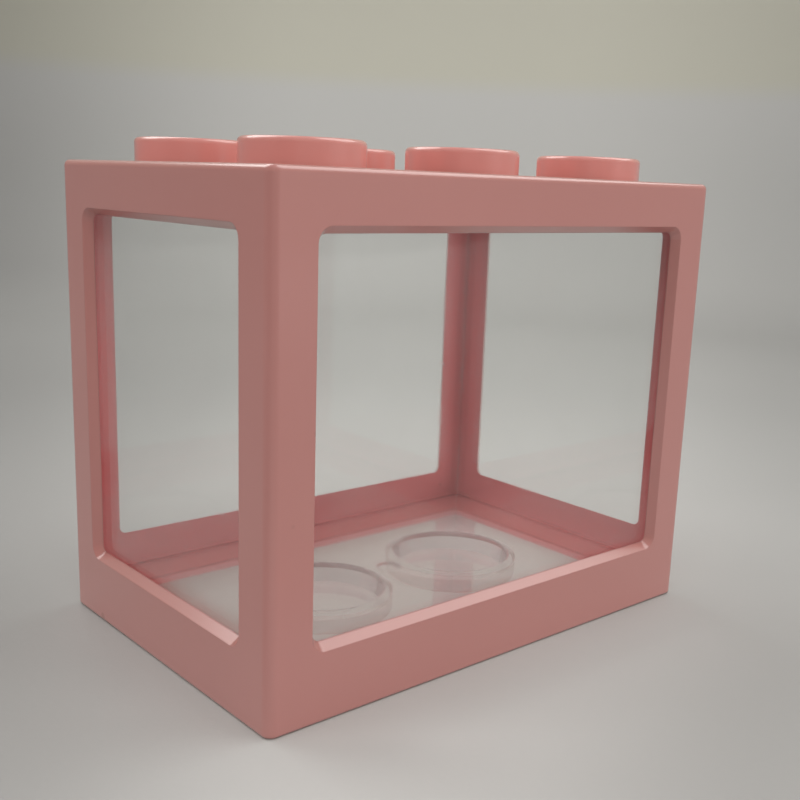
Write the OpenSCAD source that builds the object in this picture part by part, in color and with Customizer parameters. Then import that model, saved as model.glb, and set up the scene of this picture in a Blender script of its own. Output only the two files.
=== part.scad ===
// Stackable breeding box: a window frame, a clear tank that drops into it
// and a lid with six studs that carry the next box.
// Units are millimetres. The origin is the middle of the base, +Z is up,
// the long side runs along X.

/* [Stacking grid] */
// Distance between neighbouring studs, one grid square of the box
stud_pitch = 40; // [36:0.5:50]
// Outside diameter of a lid stud
stud_d = 23.6; // [18:0.2:26]
// Height of a stud above the lid plate
stud_h = 5; // [3:0.1:6]
// Rounding of the upper edge of a stud
stud_edge_r = 1; // [0.4:0.1:1.6]
// Wall and top thickness of the hollow studs
stud_wall = 2; // [1.4:0.1:2.4]
// Play between a stud of the box below and a round foot of this box
stack_gap = 0.2; // [0.1:0.05:0.5]

/* [Frame] */
// Height of the frame from the base to its rim
frame_h = 100; // [70:1:140]
// Wall thickness of the frame
frame_wall = 2; // [1.6:0.1:3]
// Rounding of the upright corners of the frame
corner_r = 2; // [1.6:0.1:4]
// Rounding of the upper rim, and of the edge of the lid plate
rim_r = 1.2; // [0.6:0.1:1.5]
// Rounding of the lower edge that the box stands on
base_r = 0.8; // [0.2:0.1:1.2]
// Rounding of the upright corners inside the frame
inner_r = 1; // [0.5:0.1:1.4]
// Width of the inward ledge that carries the tank
ledge_w = 2.3; // [2.2:0.1:4]
// Thickness of the inward ledge
ledge_t = 1.5; // [1:0.1:2.5]

/* [Windows] */
// Width of the corner posts beside each window
post_w = 9.5; // [7:0.5:14]
// Height of the rail above each window
top_rail_h = 9.6; // [8:0.1:16]
// Height of the rail below each window
base_rail_h = 14; // [11:0.5:20]
// Corner radius of a window on the outside face
window_r = 3; // [2.6:0.1:6]
// How much a window narrows from the outside face to the inside face
window_bevel = 1.4; // [0.6:0.1:1.8]

/* [Clear tank] */
// Play between the tank and the frame on each side
tank_gap = 0.3; // [0.2:0.05:0.6]
// Thickness of the tank walls
tank_wall = 1.8; // [1.4:0.1:2]
// Outside radius of the upright tank corners
tank_r = 3; // [2.4:0.1:6]
// Height of the upper face of the tank floor above the base
floor_z = 8; // [7.6:0.1:9.5]
// Thickness of the tank floor
floor_t = 2; // [1.5:0.1:2.2]
// Depth of the round wells in the tank floor
well_depth = 4; // [2:0.1:4.5]
// Wall thickness around a well at the level of the floor
well_wall = 2.3; // [1.6:0.1:3]
// How much a well narrows from the floor to its bottom, on the radius
well_draft = 1.4; // [0.4:0.1:2]
// Rounding of the rim of a well and of the lower edge of a foot
well_rim_r = 0.8; // [0.4:0.1:1.2]
// Diameter of the moulding dimple in the middle of the floor
dimple_d = 6; // [3:0.5:7]
// Depth of the moulding dimple
dimple_depth = 0.5; // [0.2:0.1:0.8]

/* [Lid] */
// Thickness of the lid plate
plate_t = 2.2; // [1.6:0.1:3]
// How far the lid plate lies below the rim of the frame
lid_sink = 0; // [0:0.1:1]
// Play between the lid plate and the frame on each side
lid_gap = 0.25; // [0.15:0.05:0.6]
// Depth of the locating skirt below the lid plate
skirt_h = 4; // [2:0.5:6]
// Thickness of the locating skirt
skirt_wall = 1.6; // [1.2:0.1:2.4]
// Play between the skirt and the tank walls on each side
skirt_gap = 0.3; // [0.2:0.05:0.6]

/* [Hidden] */
$fn = 96;
// how far a cutting shape reaches past a face
eps = 0.5;
// how far a shape reaches into its neighbour, so that the two fuse
lap = 0.4;
// smallest corner radius
min_r = 0.3;
// grid of the studs
cols = 3;
rows = 2;
// outside and inside of the frame
frame_l = cols * stud_pitch;
frame_w = rows * stud_pitch;
in_l = frame_l - 2 * frame_wall;
in_w = frame_w - 2 * frame_wall;
window_h = frame_h - top_rail_h - base_rail_h;
window_z = base_rail_h + window_h / 2;
// tank
tank_l = in_l - 2 * tank_gap;
tank_w = in_w - 2 * tank_gap;
tank_in_l = tank_l - 2 * tank_wall;
tank_in_w = tank_w - 2 * tank_wall;
tank_in_r = tank_r - tank_wall;
tank_top = frame_h - lid_sink - plate_t;
stud_r = stud_d / 2;
foot_r = stud_pitch * sqrt(2) / 2 - stud_r - stack_gap;
well_r = foot_r - well_wall;
well_z = floor_z - well_depth;
// lid
lid_l = in_l - 2 * lid_gap;
lid_w = in_w - 2 * lid_gap;
lid_top = frame_h - lid_sink;
skirt_l = tank_in_l - 2 * skirt_gap;
skirt_w = tank_in_w - 2 * skirt_gap;
skirt_r = max(tank_in_r - skirt_gap, min_r);

frame_col = [0.93, 0.60, 0.57];
lid_col = [0.94, 0.58, 0.55];
clear_col = [0.88, 0.92, 0.93, 0.35];

// ---- shared shapes ----

// upright block with rounded corners
module upright(l, w, r, z0, z1) {
  translate([0, 0, z0]) linear_extrude(z1 - z0) {
    square([l - 2 * r, w], center = true);
    square([l, w - 2 * r], center = true);
    for (x = [-1, 1], y = [-1, 1])
      translate([x * (l / 2 - r), y * (w / 2 - r)]) circle(r);
  }
}

// upright section of the rim of a block, from x = 0 out to x = b: its upper
// corner has radius top_e and its lower corner has radius low_e
module rim_section(b, top_e, low_e, z0, z1) {
  difference() {
    translate([0, z0]) square([b, z1 - z0]);
    translate([b - top_e, z1 - top_e]) difference() {
      square(top_e + eps);
      circle(top_e);
    }
    if (low_e > 0) translate([b - low_e, z0 + low_e]) difference() {
      translate([0, -low_e - eps]) square(low_e + eps);
      circle(low_e);
    }
  }
}

// upright block with rounded corners and rounded upper and lower edges, made
// of a middle slab, two end slabs and a quarter turn in each corner
module soft_block(l, w, r, top_e, low_e, z0, z1) {
  rotate([90, 0, 90]) linear_extrude(l - 2 * r, center = true)
    for (m = [0, 1]) mirror([m, 0]) rim_section(w / 2, top_e, low_e, z0, z1);
  for (m = [0, 1]) mirror([m, 0, 0]) {
    translate([l / 2 - r, 0, 0]) rotate([90, 0, 0]) linear_extrude(w - 2 * r, center = true)
      rim_section(r, top_e, low_e, z0, z1);
    for (n = [0, 1]) mirror([0, n, 0]) translate([l / 2 - r, w / 2 - r, 0])
      rotate_extrude(angle = 90) rim_section(r, top_e, low_e, z0, z1);
  }
}

// half the width of a bevelled window at a given depth below the outside face
function half_at(w, depth) = w / 2 - depth * window_bevel / frame_wall;

// bevelled window with rounded corners, outside face at y = 0, going to +y:
// two crossing tapered slabs and a cone in each corner
module window_cutter(w, h) {
  r = window_r;
  d0 = -eps;
  d1 = frame_wall + eps;
  translate([0, 0, -h / 2 + r]) linear_extrude(h - 2 * r)
    polygon([[-half_at(w, d0), d0], [half_at(w, d0), d0],
      [half_at(w, d1), d1], [-half_at(w, d1), d1]]);
  translate([-w / 2 + r, 0, 0]) rotate([90, 0, 90]) linear_extrude(w - 2 * r)
    polygon([[d0, -half_at(h, d0)], [d1, -half_at(h, d1)],
      [d1, half_at(h, d1)], [d0, half_at(h, d0)]]);
  for (x = [-1, 1], z = [-1, 1])
    translate([x * (w / 2 - r), d0, z * (h / 2 - r)]) rotate([-90, 0, 0])
      cylinder(h = d1 - d0, r1 = half_at(2 * r, d0), r2 = half_at(2 * r, d1));
}

// stud positions
module at_studs() {
  for (i = [0 : cols - 1], j = [0 : rows - 1])
    translate([(i - (cols - 1) / 2) * stud_pitch,
      (j - (rows - 1) / 2) * stud_pitch, 0]) children();
}

// foot positions, in the gaps between four studs
module at_feet() {
  for (i = [0 : cols - 2], j = [0 : rows - 2])
    translate([(i - (cols - 2) / 2) * stud_pitch,
      (j - (rows - 2) / 2) * stud_pitch, 0]) children();
}

// ---- sub-parts ----

module frame() {
  color(frame_col) difference() {
    soft_block(frame_l, frame_w, corner_r, rim_r, base_r, 0, frame_h);
    upright(in_l, in_w, inner_r, ledge_t, frame_h + eps);
    upright(in_l - 2 * ledge_w, in_w - 2 * ledge_w, inner_r, -eps, ledge_t + eps);
    for (s = [0, 180])
      rotate([0, 0, s]) translate([0, -frame_w / 2, window_z])
        window_cutter(frame_l - 2 * post_w, window_h);
    for (s = [90, 270])
      rotate([0, 0, s]) translate([0, -frame_l / 2, window_z])
        window_cutter(frame_w - 2 * post_w, window_h);
  }
}

// solid of a round foot with a rounded lower edge
module foot_solid() {
  r = well_rim_r;
  rotate_extrude() {
    translate([0, ledge_t]) square([foot_r - r, floor_z - ledge_t - lap]);
    translate([0, ledge_t + r]) square([foot_r, floor_z - ledge_t - r - lap]);
    translate([foot_r - r, ledge_t + r]) circle(r);
  }
}

// hollow of a round well with a rounded rim at floor level
module well_cutter() {
  r = well_rim_r;
  rotate_extrude() {
    polygon([[0, well_z], [well_r - well_draft, well_z],
      [well_r, floor_z - r], [well_r, floor_z], [0, floor_z]]);
    difference() {
      translate([0, floor_z - r]) square([well_r + r, r + eps]);
      translate([well_r + r, floor_z - r]) circle(r);
    }
  }
}

module tank() {
  color(clear_col) difference() {
    union() {
      difference() {
        upright(tank_l, tank_w, tank_r, ledge_t, tank_top);
        upright(tank_in_l, tank_in_w, tank_in_r, floor_z, tank_top + eps);
        upright(tank_in_l, tank_in_w, tank_in_r, ledge_t - eps, floor_z - floor_t);
      }
      at_feet() foot_solid();
    }
    at_feet() well_cutter();
    translate([0, 0, floor_z - dimple_depth])
      cylinder(h = dimple_depth + eps, d = dimple_d);
  }
}

// solid of a stud with a rounded upper edge
module stud_solid() {
  r = stud_edge_r;
  rotate_extrude() {
    translate([0, lid_top - lap]) square([stud_r, stud_h - r + lap]);
    translate([0, lid_top]) square([stud_r - r, stud_h]);
    translate([stud_r - r, lid_top + stud_h - r]) circle(r);
  }
}

module lid() {
  color(lid_col) difference() {
    union() {
      soft_block(lid_l, lid_w, rim_r, rim_r, 0, tank_top, lid_top);
      at_studs() stud_solid();
      difference() {
        upright(skirt_l, skirt_w, skirt_r, tank_top - skirt_h, tank_top + lap);
        upright(skirt_l - 2 * skirt_wall, skirt_w - 2 * skirt_wall, skirt_r,
          tank_top - skirt_h - eps, tank_top + eps);
      }
    }
    at_studs() translate([0, 0, tank_top - eps])
      cylinder(h = plate_t + stud_h - stud_wall + eps, r = stud_r - stud_wall);
  }
}

frame();
tank();
lid();
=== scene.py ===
"""Looks of a stackable fish breeding box: pink mouldings round a clear tank."""

import math

import bmesh
import bpy
from mathutils import Matrix, Vector


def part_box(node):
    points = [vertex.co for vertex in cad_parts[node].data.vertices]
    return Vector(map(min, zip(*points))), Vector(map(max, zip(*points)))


bl_info = {
    "name": "Fish breeding box looks",
    "version": (1, 0, 0),
    "blender": (4, 5, 0),
    "location": "3D View > Sidebar > Breeding Box",
    "description": "Finishes of the box, its stage and its camera",
    "category": "Material",
}

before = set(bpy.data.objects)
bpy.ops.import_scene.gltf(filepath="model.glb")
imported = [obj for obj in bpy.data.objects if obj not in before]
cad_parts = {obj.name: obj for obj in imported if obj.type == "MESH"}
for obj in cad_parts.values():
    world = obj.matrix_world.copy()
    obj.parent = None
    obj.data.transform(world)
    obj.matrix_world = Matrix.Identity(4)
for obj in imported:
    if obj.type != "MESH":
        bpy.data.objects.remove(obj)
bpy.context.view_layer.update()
_, FRAME_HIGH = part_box("frame")
_, TANK_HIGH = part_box("tank")

# Lengths are in metres unless a comment says otherwise.

# Camera
IMAGE_SIDE = 800  # pixels, both ways
SENSOR = 36.0  # millimetres
NEAREST, FARTHEST = 0.01, 20.0

# Pink plastic. A TONE is how much a pattern lightens the colour, a ROUGHNESS is
# what it adds to the roughness, and a CUT is where its noise starts and is full.
FRAME_WALL = 0.002
TOUCH = 0.00004  # keeps a face that lies on a limit on its inner side
LEAST_TONE = 0.965
CLOUD_SIZE, CLOUD_TONE = 0.045, 0.05
FLOW_SIZE, FLOW_TONE = 0.006, 0.02
FLOW_STRETCH = (1.0, 1.0, 0.12)
SMUDGE_SIZE, SMUDGE_ROUGHNESS = 0.018, 0.05
SMUDGE_CUT = (0.42, 0.72)
GRAIN_DEPTH, GRAIN_ROUGHNESS = 0.000004, 0.04
DUST_CELL, DUST_ROUGHNESS = 0.005, 0.15
DUST_SHARE = 0.012  # of the cells that hold a speck
DUST_COVER = 0.35
DUST_COLOUR = (0.25, 0.12, 0.1)
SPECK = (0.12, 0.2)  # from full to clear, in cell widths
COAT_ROUGHNESS = 0.16
COAT_IOR = 1.6
PLASTIC_IOR = 1.5

# Clear plastic
CLEAR_SMUDGE_SIZE, SMUDGE_HAZE = 0.02, 0.02
CLEAR_SMUDGE_CUT = (0.5, 0.8)
SCRATCH_SIZE, SCRATCH_ROUGHNESS = 0.0012, 0.06
SCRATCH_STRETCH = (1.0, 0.05, 1.0)
SCRATCH_CUT = (0.7, 0.76)
CLEAR_WAVE_TONE = 0.015
HAZE_ROUGHNESS = 0.4
HAZE_TOP = (0.0081, 0.0087)  # the floor of the tank ends here, and the haze with it
EDGE_BAND = (0.011, 0.016)  # inward from the tank's side, where the painted pink bounce light from the frame ends
LIFTED = (0.012, 0.04)  # height at which the floor's painted pink bounce light from the frame fades out

# The paper's shades and lights are painted light and shade, laid into its colour.
# Paper. A SPREAD, a REACH and a RISE are where a shade starts and is full: by
# direction, by distance from the box and by height.
WELD = 0.000001  # points of the stage closer than this are one
PAPER_TONE = 0.984
FIBRE_SIZE, FIBRE_TONE = 0.0016, 0.012
FIBRE_DEPTH = 0.00004
PAPER_CLOUD_SIZE, PAPER_CLOUD_TONE = 0.16, 0.025
PAPER_ROUGHNESS = 0.75
PAPER_SHINE = 0.25
LEFT_SPREAD = (0.102, 0.48)  # sideways over forward, from the shade point
RIGHT_SPREAD = (0.097, 0.409)
LEAST_FORWARD = 0.15
FAR_REACH = (0.05, 0.324)
FAR_SHADE = 0.168
BEHIND_X, BEHIND_Y = -0.66, 0.75  # from the box to the painted shadow behind it
BEHIND_SPREAD = (0.05, 0.12)
BEHIND_REACH = (0.2, 0.6)
BEHIND_SHADE = 0.082
CURVE_RISE = (-0.02, 0.03)
CURVE_LIGHT = 0.088
CURVE_LEFT_SHADE = 0.156
UPPER_RISE = (0.08, 0.25)
UPPER_LIGHT = 0.135
WALL_RISE = (0.175, 0.2)

# Lamps: name, place, side, its power among the stage settings, shows in gloss
LAMP_COLOUR = (1.0, 0.985, 0.96)
LAMP_TARGET = Vector((0.0, 0.0, 0.05))
LAMPS = (
    ("ceiling_lamp", (0.0, 0.0, 1.0), 1.0, "ceiling_power", False),
    ("back_lamp", (-0.15, 0.65, 0.7), 0.75, "back_power", True),
    ("key_lamp", (0.42, -0.14, 0.75), 0.65, "key_power", True),
    ("left_lamp", (-0.6, 0.1, 0.3), 0.4, "left_power", False),
    ("right_lamp", (0.3, -0.6, 0.12), 0.4, "right_power", False),
    ("front_lamp", (-0.35, -0.45, 0.7), 0.7, "front_power", False),
)


# ---- settings ----


class PlasticSettings(bpy.types.PropertyGroup):
    """Sizes and colours of the pink mouldings."""

    frame_colour: bpy.props.FloatVectorProperty(
        name="Frame colour",
        description="Colour of the window frame",
        subtype="COLOR",
        size=3,
        default=(0.52, 0.215, 0.198),
    )
    lid_colour: bpy.props.FloatVectorProperty(
        name="Lid colour",
        description="Colour of the lid and its studs",
        subtype="COLOR",
        size=3,
        default=(0.675, 0.268, 0.243),
    )
    # Painted bounce light: a redder colour on the faces turned to the tank stands in
    # for the light they get through the tank and from each other.
    painted_bounce_colour: bpy.props.FloatVectorProperty(
        name="Inner colour",
        description="Colour of the faces turned to the tank",
        subtype="COLOR",
        size=3,
        default=(0.82, 0.22, 0.23),
    )
    roughness: bpy.props.FloatProperty(
        name="Roughness",
        description="Roughness of the moulded skin",
        default=0.3,
        min=0.0,
        max=1.0,
    )
    gloss: bpy.props.FloatProperty(
        name="Gloss",
        description="Strength of the polished top skin",
        default=0.95,
        min=0.0,
        max=1.0,
    )
    edge: bpy.props.FloatProperty(
        name="Edge softness",
        description="Radius by which the edges of a moulding look softened",
        default=0.0004,
        subtype="DISTANCE",
    )
    wave_size: bpy.props.FloatProperty(
        name="Wave size",
        description="Length of the soft waves that a mould leaves in a flat face",
        default=0.009,
        subtype="DISTANCE",
    )
    wave_depth: bpy.props.FloatProperty(
        name="Wave depth",
        description="Depth of those waves",
        default=0.00004,
        subtype="DISTANCE",
    )
    grain_size: bpy.props.FloatProperty(
        name="Grain size",
        description="Size of the fine grain in the skin",
        default=0.0005,
        subtype="DISTANCE",
    )


class ClearSettings(bpy.types.PropertyGroup):
    """Sizes and colours of the clear tank."""

    tint: bpy.props.FloatVectorProperty(
        name="Tint",
        description="Colour of light that has passed through the tank",
        subtype="COLOR",
        size=3,
        default=(0.975, 0.98, 0.975),
    )
    # The floor haze is partly painted light: it lightens the floor over the shaded
    # paper under the tank.
    haze: bpy.props.FloatProperty(
        name="Floor haze",
        description="Share of the light that the floor of the tank scatters",
        default=0.14,
        min=0.0,
        max=1.0,
    )
    # Painted bounce light: the pink in the haze colour stands for light from the pink
    # frame.
    pink_bounce_haze_colour: bpy.props.FloatVectorProperty(
        name="Haze colour",
        description="Colour of the scattered light in the floor of the tank",
        subtype="COLOR",
        size=3,
        default=(0.88, 0.74, 0.745),
    )
    # Painted bounce light: the pink that the rim of the tank floor gets from the frame.
    painted_frame_bounce_colour: bpy.props.FloatVectorProperty(
        name="Edge colour",
        description="Colour that the rim of the tank floor takes from the frame",
        subtype="COLOR",
        size=3,
        default=(0.80, 0.27, 0.26),
    )
    lifted_colour: bpy.props.FloatVectorProperty(
        name="Lifted colour",
        description="Colour of the scattered light once the tank is out of the frame",
        subtype="COLOR",
        size=3,
        default=(0.84, 0.83, 0.83),
    )
    passing_colour: bpy.props.FloatVectorProperty(
        name="Passing colour",
        description="Share of the lamps' light that each face lets through",
        subtype="COLOR",
        size=3,
        default=(0.985, 0.972, 0.972),
    )
    ior: bpy.props.FloatProperty(
        name="Refractive index",
        description="Refractive index of the clear plastic",
        default=1.5,
        min=1.0,
        max=2.0,
    )
    roughness: bpy.props.FloatProperty(
        name="Roughness",
        description="Roughness of the polished skin",
        default=0.03,
        min=0.0,
        max=1.0,
    )
    wave_size: bpy.props.FloatProperty(
        name="Wave size",
        description="Length of the flow waves in the clear walls",
        default=0.012,
        subtype="DISTANCE",
    )
    wave_depth: bpy.props.FloatProperty(
        name="Wave depth",
        description="Depth of those waves",
        default=0.000012,
        subtype="DISTANCE",
    )


class StageSettings(bpy.types.PropertyGroup):
    """The pale paper stage and its lamps."""

    paper_colour: bpy.props.FloatVectorProperty(
        name="Paper colour",
        description="Colour of the floor and the backdrop",
        subtype="COLOR",
        size=3,
        default=(0.528, 0.527, 0.524),
    )
    wall_colour: bpy.props.FloatVectorProperty(
        name="Wall colour",
        description="Colour of the upper backdrop",
        subtype="COLOR",
        size=3,
        default=(0.532, 0.523, 0.46),
    )
    # Painted shade: the paper darkens to the left and the right of a fan from the shade
    # point, which lies under the camera.
    left_falloff: bpy.props.FloatProperty(
        name="Left falloff",
        description="How much darker the paper gets towards the left",
        default=0.235,
        min=0.0,
        max=1.0,
    )
    right_falloff: bpy.props.FloatProperty(
        name="Right falloff",
        description="How much darker the paper gets towards the right",
        default=0.237,
        min=0.0,
        max=1.0,
    )
    shade_point: bpy.props.FloatVectorProperty(
        name="Shade point",
        description="Point on the floor from which the paper's darker sides fan out",
        subtype="TRANSLATION",
        size=2,
        default=(-0.154, -0.184),
    )
    shade_turn: bpy.props.FloatProperty(
        name="Shade turn",
        description="Turn of the paper's brighter middle between its darker sides",
        subtype="ANGLE",
        default=math.radians(41.7),
    )
    floor_radius: bpy.props.FloatProperty(
        name="Floor radius",
        description="Radius of the flat floor",
        default=0.55,
        subtype="DISTANCE",
    )
    sweep_radius: bpy.props.FloatProperty(
        name="Sweep radius",
        description="Radius of the curve between floor and backdrop",
        default=0.25,
        subtype="DISTANCE",
    )
    wall_height: bpy.props.FloatProperty(
        name="Wall height",
        description="Height of the backdrop",
        default=1.1,
        subtype="DISTANCE",
    )
    ceiling_power: bpy.props.FloatProperty(
        name="Ceiling lamp",
        description="Power of the large lamp overhead",
        default=0.66,
        unit="POWER",
    )
    back_power: bpy.props.FloatProperty(
        name="Back lamp",
        description="Power of the lamp high behind the box",
        default=5.3,
        unit="POWER",
    )
    key_power: bpy.props.FloatProperty(
        name="Key lamp",
        description="Power of the lamp high on the right that lights the sills",
        default=3.05,
        unit="POWER",
    )
    left_power: bpy.props.FloatProperty(
        name="Left lamp",
        description="Power of the soft lamp on the left",
        default=1.08,
        unit="POWER",
    )
    right_power: bpy.props.FloatProperty(
        name="Right lamp",
        description="Power of the soft lamp on the right",
        default=1.68,
        unit="POWER",
    )
    front_power: bpy.props.FloatProperty(
        name="Front lamp",
        description="Power of the soft lamp above the camera",
        default=2.1,
        unit="POWER",
    )
    sky_strength: bpy.props.FloatProperty(
        name="Sky strength",
        description="Strength of the even light from all round",
        default=0.22,
    )


class CameraSettings(bpy.types.PropertyGroup):
    """Where the photograph was taken from."""

    place: bpy.props.FloatVectorProperty(
        name="Place",
        description="Place of the camera",
        subtype="TRANSLATION",
        size=3,
        default=(-0.15422, -0.18351, 0.09785),
    )
    azimuth: bpy.props.FloatProperty(
        name="Azimuth",
        description="Turn of the camera round the box",
        subtype="ANGLE",
        default=math.radians(-41.733),
    )
    elevation: bpy.props.FloatProperty(
        name="Elevation",
        description="Angle by which the camera looks down",
        subtype="ANGLE",
        default=math.radians(12.735),
    )
    roll: bpy.props.FloatProperty(
        name="Roll",
        description="Tilt of the camera about its own axis",
        subtype="ANGLE",
        default=math.radians(2.194),
    )
    focal_pixels: bpy.props.FloatProperty(
        name="Focal length in pixels",
        description="Focal length of the camera, in pixels of the picture",
        default=1054.9,
    )
    centre_pixels: bpy.props.FloatVectorProperty(
        name="Centre in pixels",
        description="Where the camera's axis meets the picture",
        size=2,
        default=(421.8, 421.8),
    )


# ---- shader maths ----


class Val:
    """A number in a material, so that its maths reads as plain expressions."""

    def __init__(self, finish, socket):
        self.finish = finish
        self.socket = socket

    def _maths(self, operation, first, second):
        node = self.finish.node(
            "ShaderNodeMath", {"operation": operation}, {0: first, 1: second}
        )
        return Val(self.finish, node.outputs[0])

    def __add__(self, other):
        return self._maths("ADD", self, other)

    def __radd__(self, other):
        return self._maths("ADD", other, self)

    def __sub__(self, other):
        return self._maths("SUBTRACT", self, other)

    def __rsub__(self, other):
        return self._maths("SUBTRACT", other, self)

    def __mul__(self, other):
        return self._maths("MULTIPLY", self, other)

    def __rmul__(self, other):
        return self._maths("MULTIPLY", other, self)

    def __truediv__(self, other):
        return self._maths("DIVIDE", self, other)

    def __lt__(self, other):
        return self._maths("LESS_THAN", self, other)

    def __abs__(self):
        return self._maths("ABSOLUTE", self, 0.0)

    def least(self, other):
        """The smaller of this number and another."""
        return self._maths("MINIMUM", self, other)

    def most(self, other):
        """The larger of this number and another."""
        return self._maths("MAXIMUM", self, other)

    def ramp(self, low, high):
        """0 below low, 1 above high, and a smooth step between them."""
        node = self.finish.node(
            "ShaderNodeMapRange",
            {"interpolation_type": "SMOOTHSTEP"},
            {"Value": self, "From Min": low, "From Max": high},
        )
        return Val(self.finish, node.outputs["Result"])


class Finish:
    """A material whose nodes are made by one method."""

    def __init__(self, name):
        self.material = bpy.data.materials.new(name)
        self.material.use_nodes = True
        self.tree = self.material.node_tree
        self.tree.nodes.clear()
        self.place = self.node("ShaderNodeTexCoord").outputs["Object"]
        parts = self.node("ShaderNodeSeparateXYZ", {}, {0: self.place})
        self.x, self.y, self.z = (Val(self, out) for out in parts.outputs)

    def node(self, kind, settings=None, sockets=None):
        """Adds a node, sets its settings, then fills or links its sockets."""
        made = self.tree.nodes.new(kind)
        for key, value in (settings or {}).items():
            setattr(made, key, value)
        for key, value in (sockets or {}).items():
            if isinstance(value, Val):
                value = value.socket
            if isinstance(value, bpy.types.NodeSocket):
                self.tree.links.new(value, made.inputs[key])
            else:
                made.inputs[key].default_value = value
        return made

    def noise(self, size, detail=2.0, stretch=(1.0, 1.0, 1.0), rough=0.5):
        """Cloudy noise from 0 to 1 whose blotches are about size metres across."""
        scaled = self.node(
            "ShaderNodeVectorMath",
            {"operation": "MULTIPLY"},
            {0: self.place, 1: stretch},
        )
        made = self.node(
            "ShaderNodeTexNoise",
            {},
            {
                "Vector": scaled.outputs[0],
                "Scale": 1.0 / size,
                "Detail": detail,
                "Roughness": rough,
            },
        )
        return Val(self, made.outputs[0])

    def specks(self, size, share):
        """1 inside round specks, one in a share of the cells of this size."""
        cells = self.node(
            "ShaderNodeTexVoronoi", {}, {"Vector": self.place, "Scale": 1.0 / size}
        )
        pick = self.node("ShaderNodeSeparateColor", {}, {0: cells.outputs["Color"]})
        chosen = Val(self, pick.outputs[0]) < share
        return chosen * (1.0 - Val(self, cells.outputs["Distance"]).ramp(*SPECK))

    def mix(self, share, first, second):
        """A colour share of the way from first to second."""
        made = self.node(
            "ShaderNodeMix", {"data_type": "RGBA"}, {0: share, 6: first, 7: second}
        )
        return made.outputs[2]

    def shade(self, colour, value):
        """The colour times a number that may change over the surface."""
        made = self.node(
            "ShaderNodeVectorMath",
            {"operation": "SCALE"},
            {0: colour, "Scale": value},
        )
        return made.outputs[0]

    def bump(self, height, depth, under=None):
        """A normal bent by a height of 0 to 1, worth depth metres."""
        sockets = {"Height": height, "Distance": depth, "Strength": 1.0}
        if under is not None:
            sockets["Normal"] = under
        return self.node("ShaderNodeBump", {}, sockets).outputs[0]

    def output(self, shader):
        """Makes shader the look of the surface."""
        self.node("ShaderNodeOutputMaterial", {}, {"Surface": shader})
        return self.material


def rgba(colour):
    """A colour with full alpha."""
    return (*colour, 1.0)


# ---- finishes ----


def moulded_plastic(name, colour, settings, inside=None):
    """Glossy pink plastic with mould waves, flow marks and dust; where inside gives 1,
    a redder colour is painted bounce light.
    """
    f = Finish(name)
    cloud = f.noise(CLOUD_SIZE, detail=3.0)
    flow = f.noise(FLOW_SIZE, detail=3.0, stretch=FLOW_STRETCH)
    grain = f.noise(settings.grain_size, detail=1.0)
    smudge = f.noise(SMUDGE_SIZE, detail=4.0, rough=0.6).ramp(*SMUDGE_CUT)
    dust = f.specks(DUST_CELL, DUST_SHARE)
    wave = f.noise(settings.wave_size, detail=1.5)

    base = colour
    # Painted bounce light: the faces turned to the tank take the redder inner colour.
    if inside is not None:
        base = f.mix(inside(f), rgba(colour), rgba(settings.painted_bounce_colour))
    base = f.shade(base, LEAST_TONE + CLOUD_TONE * cloud + FLOW_TONE * flow)
    base = f.mix(dust * DUST_COVER, base, rgba(DUST_COLOUR))
    rough = settings.roughness + SMUDGE_ROUGHNESS * smudge
    rough = rough + GRAIN_ROUGHNESS * (grain - 0.5) + DUST_ROUGHNESS * dust
    edge = f.node("ShaderNodeBevel", {"samples": 4}, {"Radius": settings.edge})
    skin = f.bump(wave, settings.wave_depth, edge.outputs[0])
    skin = f.bump(grain, GRAIN_DEPTH, skin)
    shader = f.node(
        "ShaderNodeBsdfPrincipled",
        {},
        {
            "Base Color": base,
            "Roughness": rough,
            "Normal": skin,
            "IOR": PLASTIC_IOR,
            "Coat Weight": settings.gloss,
            "Coat Roughness": COAT_ROUGHNESS,
            "Coat IOR": COAT_IOR,
        },
    )
    return f.output(shader.outputs[0])


def floor_haze_and_bounce(f, settings):
    """The faint haze in the floor of the tank, tinted with painted pink bounce light
    from the frame while the tank sits in it.
    """
    world = f.node("ShaderNodeNewGeometry").outputs["Position"]
    height = Val(f, f.node("ShaderNodeSeparateXYZ", {}, {0: world}).outputs[2])
    to_side = (TANK_HIGH.x - abs(f.x)).least(TANK_HIGH.y - abs(f.y))
    colour = f.mix(
        to_side.ramp(*EDGE_BAND),
        rgba(settings.painted_frame_bounce_colour),
        rgba(settings.pink_bounce_haze_colour),
    )
    colour = f.mix(height.ramp(*LIFTED), colour, rgba(settings.lifted_colour))
    return f.node(
        "ShaderNodeBsdfPrincipled",
        {},
        {"Base Color": colour, "Roughness": HAZE_ROUGHNESS},
    )


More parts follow.
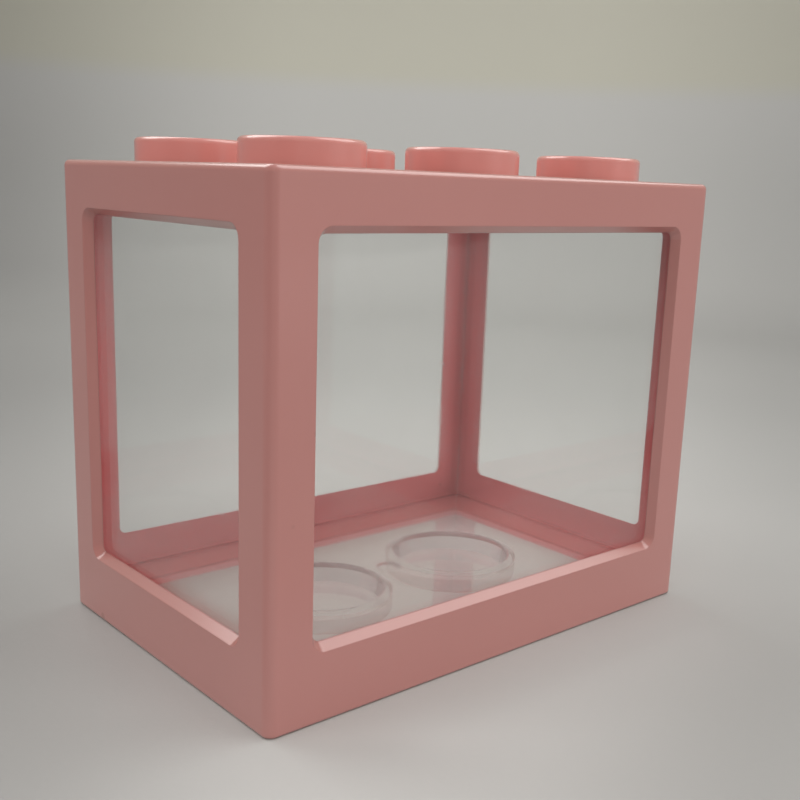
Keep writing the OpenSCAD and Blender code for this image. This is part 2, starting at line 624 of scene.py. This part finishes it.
def clear_plastic(name, settings):
    """Clear polished plastic with flow waves, faint smudges and fine scratches."""
    f = Finish(name)
    wave = f.noise(settings.wave_size, detail=1.5)
    smudge = f.noise(CLEAR_SMUDGE_SIZE, detail=4.0, rough=0.65)
    smudge = smudge.ramp(*CLEAR_SMUDGE_CUT)
    scratch = f.noise(SCRATCH_SIZE, detail=1.0, stretch=SCRATCH_STRETCH)
    rough = settings.roughness + SMUDGE_ROUGHNESS * smudge
    rough = rough + SCRATCH_ROUGHNESS * scratch.ramp(*SCRATCH_CUT)
    tone = (1.0 - CLEAR_WAVE_TONE) + CLEAR_WAVE_TONE * wave
    glass = f.node(
        "ShaderNodeBsdfPrincipled",
        {},
        {
            "Base Color": f.shade(settings.tint, tone),
            "Roughness": rough,
            "Normal": f.bump(wave, settings.wave_depth),
            "IOR": settings.ior,
            "Transmission Weight": 1.0,
        },
    )
    # Painted light: the haze lightens the tank floor and carries the painted pink
    # bounce light.
    haze_share = settings.haze * (1.0 - f.z.ramp(*HAZE_TOP)) + SMUDGE_HAZE * smudge
    hazy = f.node(
        "ShaderNodeMixShader",
        {},
        {0: haze_share, 1: glass.outputs[0], 2: floor_haze_and_bounce(f, settings).outputs[0]},
    )

    # The lamps' light passes straight through, so that the box stands in clean light.
    passing = f.node(
        "ShaderNodeBsdfTransparent", {}, {"Color": rgba(settings.passing_colour)}
    )
    path = f.node("ShaderNodeLightPath").outputs
    lamp_ray = Val(f, path["Is Shadow Ray"]) + Val(f, path["Is Diffuse Ray"])
    both = f.node(
        "ShaderNodeMixShader",
        {},
        {0: lamp_ray, 1: hazy.outputs[0], 2: passing.outputs[0]},
    )
    return f.output(both.outputs[0])


def paper_painted_light(f, settings):
    """Painted light and shade on the paper: darker to the left, to the right, far off
    and in a painted shadow behind the box, lighter up the sweep and the wall.
    """
    turn, point = settings.shade_turn, settings.shade_point
    ahead_x, ahead_y = math.sin(turn), math.cos(turn)
    from_x, from_y = f.x - point[0], f.y - point[1]
    forward = (ahead_x * from_x + ahead_y * from_y).most(LEAST_FORWARD)
    leftward = (ahead_x * from_y - ahead_y * from_x) / forward
    left = leftward.ramp(*LEFT_SPREAD)
    right = (-1.0 * leftward).ramp(*RIGHT_SPREAD)

    distance = f.node("ShaderNodeVectorMath", {"operation": "LENGTH"}, {0: f.place})
    reach = Val(f, distance.outputs["Value"])
    behind = (BEHIND_Y * f.y + BEHIND_X * f.x).ramp(*BEHIND_SPREAD)
    behind = behind * (1.0 - reach.ramp(*BEHIND_REACH))
    curve = f.z.ramp(*CURVE_RISE)

    tone = PAPER_TONE - FAR_SHADE * reach.ramp(*FAR_REACH) - BEHIND_SHADE * behind
    tone = tone + CURVE_LIGHT * curve * (1.0 - left)
    tone = tone + UPPER_LIGHT * f.z.ramp(*UPPER_RISE)
    tone = tone - (settings.left_falloff + CURVE_LEFT_SHADE * curve) * left
    return tone - settings.right_falloff * right


def paper(name, settings):
    """Matt pale paper with a faint fibre grain and painted light and shade."""
    f = Finish(name)
    fibre = f.noise(FIBRE_SIZE, detail=3.0)
    cloud = f.noise(PAPER_CLOUD_SIZE)
    grain = PAPER_CLOUD_TONE * cloud + FIBRE_TONE * fibre
    colour = f.mix(
        f.z.ramp(*WALL_RISE), rgba(settings.paper_colour), rgba(settings.wall_colour)
    )
    shader = f.node(
        "ShaderNodeBsdfPrincipled",
        {},
        {
            "Base Color": f.shade(colour, paper_painted_light(f, settings) + grain),
            "Roughness": PAPER_ROUGHNESS,
            "Normal": f.bump(fibre, FIBRE_DEPTH),
            "Specular IOR Level": PAPER_SHINE,
        },
    )
    return f.output(shader.outputs[0])


def painted_bounce_mask(f):
    """Where bounce light is painted: 1 on the faces turned to the tank, and 0 on the
    outside and in the windows.
    """
    turned_x = abs(f.x) < FRAME_HIGH.x - FRAME_WALL + TOUCH
    turned_y = abs(f.y) < FRAME_HIGH.y - FRAME_WALL + TOUCH
    return turned_x * turned_y


def dress(node, material):
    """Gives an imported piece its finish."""
    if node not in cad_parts:
        raise RuntimeError(f"the frame holds no piece named {node}")
    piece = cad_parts[node]
    piece.data.materials.clear()
    piece.data.materials.append(material)


# ---- operators ----


class BOX_OT_finish_frame(bpy.types.Operator):
    """Give the window frame its pink moulded finish."""

    bl_idname = "box.finish_frame"
    bl_label = "Finish Frame"

    def execute(self, context):
        plastic = context.scene.box_plastic
        material = moulded_plastic(
            "frame_plastic", plastic.frame_colour, plastic, painted_bounce_mask
        )
        dress("frame", material)
        return {"FINISHED"}


class BOX_OT_finish_lid(bpy.types.Operator):
    """Give the lid with its studs its pink moulded finish."""

    bl_idname = "box.finish_lid"
    bl_label = "Finish Lid"

    def execute(self, context):
        plastic = context.scene.box_plastic
        material = moulded_plastic("lid_plastic", plastic.lid_colour, plastic)
        dress("lid", material)
        return {"FINISHED"}


class BOX_OT_finish_tank(bpy.types.Operator):
    """Give the tank its clear polished finish."""

    bl_idname = "box.finish_tank"
    bl_label = "Finish Tank"

    def execute(self, context):
        material = clear_plastic("clear_plastic", context.scene.box_clear)
        dress("tank", material)
        return {"FINISHED"}


def area_lamp(name, place, size, power, mirrored):
    """A square soft lamp that points at the box and may show in glossy surfaces."""
    lamp = bpy.data.lights.new(name, "AREA")
    lamp.shape = "SQUARE"
    lamp.size = size
    lamp.energy = power
    lamp.color = LAMP_COLOUR
    lamp_object = bpy.data.objects.new(name, lamp)
    lamp_object.visible_camera = False
    lamp_object.visible_transmission = False
    lamp_object.visible_glossy = mirrored
    lamp_object.location = place
    direction = LAMP_TARGET - Vector(place)
    lamp_object.rotation_euler = direction.to_track_quat("-Z", "Y").to_euler()
    bpy.context.scene.collection.objects.link(lamp_object)


def stage_outline(stage, steps):
    """Points from the middle of the floor, up the sweep and up the backdrop."""
    points = [Vector((0.0, 0.0, 0.0)), Vector((stage.floor_radius, 0.0, 0.0))]
    for step in range(1, steps + 1):
        turn = math.pi / 2 * step / steps
        out = stage.floor_radius + stage.sweep_radius * math.sin(turn)
        up = stage.sweep_radius * (1 - math.cos(turn))
        points.append(Vector((out, 0.0, up)))
    points.append(points[-1] + Vector((0.0, 0.0, stage.wall_height)))
    return points


class BOX_OT_build_stage(bpy.types.Operator):
    """Build the pale round stage, its lamps and the even light round it."""

    bl_idname = "box.build_stage"
    bl_label = "Build Stage"

    segments: bpy.props.IntProperty(
        name="Segments", description="Steps round the stage", default=96, min=24
    )
    steps: bpy.props.IntProperty(
        name="Sweep steps",
        description="Steps in the curve of the backdrop",
        default=16,
        min=4,
    )

    def execute(self, context):
        stage = context.scene.box_stage
        mesh = bpy.data.meshes.new("stage")
        bm = bmesh.new()
        points = [bm.verts.new(p) for p in stage_outline(stage, self.steps)]
        edges = [bm.edges.new(pair) for pair in zip(points, points[1:])]
        bmesh.ops.spin(
            bm,
            geom=points + edges,
            cent=(0, 0, 0),
            axis=(0, 0, 1),
            angle=2 * math.pi,
            steps=self.segments,
            use_merge=True,
        )
        bmesh.ops.remove_doubles(bm, verts=bm.verts, dist=WELD)
        bmesh.ops.recalc_face_normals(bm, faces=bm.faces)
        bm.to_mesh(mesh)
        bm.free()
        mesh.shade_smooth()
        backdrop = bpy.data.objects.new("stage", mesh)
        context.scene.collection.objects.link(backdrop)
        mesh.materials.append(paper("stage_paper", stage))

        for name, place, size, power, mirrored in LAMPS:
            area_lamp(name, place, size, getattr(stage, power), mirrored)
        world = bpy.data.worlds.new("even_light")
        world.use_nodes = True
        sky = world.node_tree.nodes["Background"]
        sky.inputs["Color"].default_value = rgba(LAMP_COLOUR)
        sky.inputs["Strength"].default_value = stage.sky_strength
        context.scene.world = world
        context.scene.view_settings.view_transform = "Standard"
        return {"FINISHED"}


class BOX_OT_place_camera(bpy.types.Operator):
    """Place the camera where the photograph was taken from."""

    bl_idname = "box.place_camera"
    bl_label = "Place Camera"

    def execute(self, context):
        view = context.scene.box_camera
        data = bpy.data.cameras.new("camera")
        data.sensor_width = SENSOR
        data.lens = SENSOR * view.focal_pixels / IMAGE_SIDE
        half = IMAGE_SIDE / 2
        data.shift_x = (half - view.centre_pixels[0]) / IMAGE_SIDE
        data.shift_y = (view.centre_pixels[1] - half) / IMAGE_SIDE
        data.clip_start = NEAREST
        data.clip_end = FARTHEST
        camera = bpy.data.objects.new("camera", data)
        turn = (
            Matrix.Rotation(view.azimuth, 4, "Z")
            @ Matrix.Rotation(math.pi / 2 - view.elevation, 4, "X")
            @ Matrix.Rotation(view.roll, 4, "Z")
        )
        camera.matrix_world = Matrix.Translation(view.place) @ turn
        context.scene.collection.objects.link(camera)
        context.scene.camera = camera
        return {"FINISHED"}


class BOX_PT_panel(bpy.types.Panel):
    """Lists the steps that dress the breeding box."""

    bl_label = "Breeding Box"
    bl_idname = "BOX_PT_panel"
    bl_space_type = "VIEW_3D"
    bl_region_type = "UI"
    bl_category = "Breeding Box"

    def draw(self, context):
        for step in STEPS:
            self.layout.operator(step.bl_idname)
        for group in SETTINGS:
            block = self.layout.box()
            for name in group.__annotations__:
                block.prop(getattr(context.scene, SETTINGS[group]), name)


SETTINGS = {
    PlasticSettings: "box_plastic",
    ClearSettings: "box_clear",
    StageSettings: "box_stage",
    CameraSettings: "box_camera",
}
STEPS = (
    BOX_OT_place_camera,
    BOX_OT_build_stage,
    BOX_OT_finish_frame,
    BOX_OT_finish_tank,
    BOX_OT_finish_lid,
)
CLASSES = (*SETTINGS, *STEPS, BOX_PT_panel)


def register():
    """Registers the settings, the steps and the panel."""
    for cls in CLASSES:
        bpy.utils.register_class(cls)
    for group, name in SETTINGS.items():
        setattr(bpy.types.Scene, name, bpy.props.PointerProperty(type=group))


def unregister():
    """Removes the settings, the steps and the panel."""
    for name in SETTINGS.values():
        delattr(bpy.types.Scene, name)
    for cls in reversed(CLASSES):
        bpy.utils.unregister_class(cls)


def main():
    """Dresses the box step by step."""
    register()
    bpy.ops.box.place_camera()
    bpy.ops.box.build_stage()
    bpy.ops.box.finish_frame()
    bpy.ops.box.finish_tank()
    bpy.ops.box.finish_lid()


if __name__ == "__main__":
    main()
